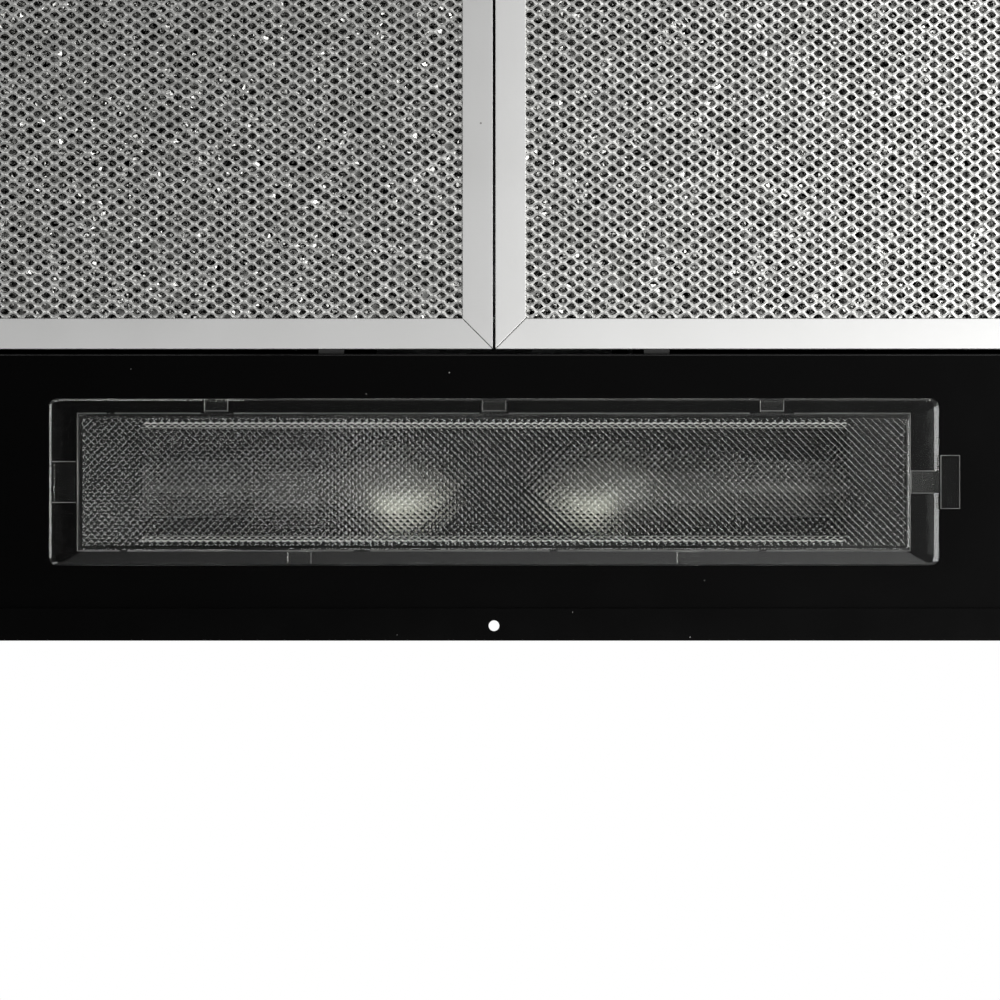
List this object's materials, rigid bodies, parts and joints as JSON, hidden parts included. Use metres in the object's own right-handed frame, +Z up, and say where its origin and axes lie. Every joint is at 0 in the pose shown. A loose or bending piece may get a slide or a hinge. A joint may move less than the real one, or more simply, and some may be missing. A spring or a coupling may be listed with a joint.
{
  "type": "range hood insert",
  "caption": "Black range hood insert with mesh grease filters, a clear lamp cover, a blower, a duct collar with damper and a mounting flange.",
  "frame": {"origin": "middle of the footprint at the underside of the mounting flange", "axes": "+Z up as installed, -Y towards the cook, +X to the right as seen from the front"},
  "size_m": [0.72, 0.44, 0.295],
  "materials": {
    "black_enamel": "gloss black stoved enamel on steel sheet",
    "satin_aluminium": "satin rolled aluminium strip",
    "mesh_aluminium": "bright expanded aluminium",
    "clear_plastic": "clear moulded plastic with ribbed face",
    "frosted_glass": "inside-frosted lamp glass",
    "white_ceramic": "glazed lamp holder ceramic",
    "black_plastic": "black moulded plastic",
    "white_plastic": "white moulded plastic",
    "galvanised_steel": "spangled galvanised sheet",
    "bright_steel": "zinc plated steel",
    "motor_enamel": "dark motor enamel"
  },
  "bodies": {
    "casing": {"blower_screws": "bright_steel", "cable_gland": "black_plastic", "cable_gland_nut": "black_plastic", "capacitor": "white_plastic", "capacitor_clip": "galvanised_steel", "casing_screws": "bright_steel", "collar_screws": "bright_steel", "damper_pins": "bright_steel", "duct_collar": "galvanised_steel", "fan_switch_housing": "black_plastic", "frame_rivets": "bright_steel", "front_wall": "black_enamel", "lamp_reflector": "black_enamel", "left_filter_rail": "black_enamel", "left_lamp_base": "bright_steel", "left_lamp_glass": "frosted_glass", "left_lamp_socket": "white_ceramic", "left_wall": "black_enamel", "light_panel": "black_enamel", "light_switch_housing": "black_plastic", "motor": "motor_enamel", "motor_bracket": "galvanised_steel", "rear_filter_rail": "black_enamel", "rear_wall": "black_enamel", "right_filter_rail": "black_enamel", "right_lamp_base": "bright_steel", "right_lamp_glass": "frosted_glass", "right_lamp_socket": "white_ceramic", "right_wall": "black_enamel", "scroll_left_side": "galvanised_steel", "scroll_right_side": "galvanised_steel", "scroll_wrap": "galvanised_steel", "terminal_block": "white_plastic", "top_panel": "black_enamel", "wiring_box": "galvanised_steel", "wiring_box_cover": "galvanised_steel"},
    "right_filter": {"right_filter_back_mesh": "mesh_aluminium", "right_filter_face_mesh": "mesh_aluminium", "right_filter_foil": "mesh_aluminium", "right_filter_latch_case": "satin_aluminium", "right_filter_lugs": "satin_aluminium", "right_filter_rails": "satin_aluminium"},
    "left_filter": {"left_filter_back_mesh": "mesh_aluminium", "left_filter_face_mesh": "mesh_aluminium", "left_filter_foil": "mesh_aluminium", "left_filter_latch_case": "satin_aluminium", "left_filter_lugs": "satin_aluminium", "left_filter_rails": "satin_aluminium"},
    "right_filter_bolt": {"right_filter_latch": "satin_aluminium"},
    "left_filter_bolt": {"left_filter_latch": "satin_aluminium"},
    "light_cover": {"lamp_cover": "clear_plastic"},
    "light_cover_grip": {"cover_latch": "clear_plastic"},
    "fan_rocker": {"fan_switch_rocker": "black_plastic"},
    "light_rocker": {"light_switch_rocker": "black_plastic"},
    "fan_wheel": {"impeller": "galvanised_steel", "motor_shaft": "bright_steel", "impeller_nut": "bright_steel"},
    "front_flap": {"front_damper_flap": "galvanised_steel"},
    "rear_flap": {"rear_damper_flap": "galvanised_steel"}
  },
  "joints": [
    {"name": "right_filter_tilt", "type": "hinge", "parent": "casing", "child": "right_filter", "pos_m": [0.1661, -0.0843, 0.0085], "axis": [-1, 0, 0], "range_deg": [0, 80]},
    {"name": "left_filter_tilt", "type": "hinge", "parent": "casing", "child": "left_filter", "pos_m": [-0.1661, -0.0843, 0.0085], "axis": [-1, 0, 0], "range_deg": [0, 80]},
    {"name": "right_filter_bolt_slide", "type": "slide", "parent": "right_filter", "child": "right_filter_bolt", "axis": [0, -1, 0], "range_m": [0, 0.005], "stiffness_N_per_m": 300},
    {"name": "left_filter_bolt_slide", "type": "slide", "parent": "left_filter", "child": "left_filter_bolt", "axis": [0, -1, 0], "range_m": [0, 0.005], "stiffness_N_per_m": 300},
    {"name": "light_cover_swing", "type": "hinge", "parent": "casing", "child": "light_cover", "pos_m": [0.2082, -0.14575, 0.0068], "axis": [0, -1, 0], "range_deg": [0, 75]},
    {"name": "cover_grip_slide", "type": "slide", "parent": "light_cover", "child": "light_cover_grip", "axis": [-1, 0, 0], "range_m": [0, 0.0025], "stiffness_N_per_m": 200},
    {"name": "fan_rocker_tip", "type": "hinge", "parent": "casing", "child": "fan_rocker", "pos_m": [-0.288, -0.12875, 0.0095], "axis": [0, 1, 0], "range_deg": [-8, 8]},
    {"name": "light_rocker_tip", "type": "hinge", "parent": "casing", "child": "light_rocker", "pos_m": [-0.288, -0.16275, 0.0095], "axis": [0, 1, 0], "range_deg": [-8, 8]},
    {"name": "fan_spin", "type": "hinge", "parent": "casing", "child": "fan_wheel", "pos_m": [0, -0.0285, 0.15], "axis": [1, 0, 0], "continuous": true},
    {"name": "front_flap_swing", "type": "hinge", "parent": "casing", "child": "front_flap", "pos_m": [0, 0.0471, 0.262], "axis": [-1, 0, 0], "range_deg": [0, 75]},
    {"name": "rear_flap_swing", "type": "hinge", "parent": "casing", "child": "rear_flap", "pos_m": [0, 0.0529, 0.262], "axis": [1, 0, 0], "range_deg": [0, 75]}
  ]
}
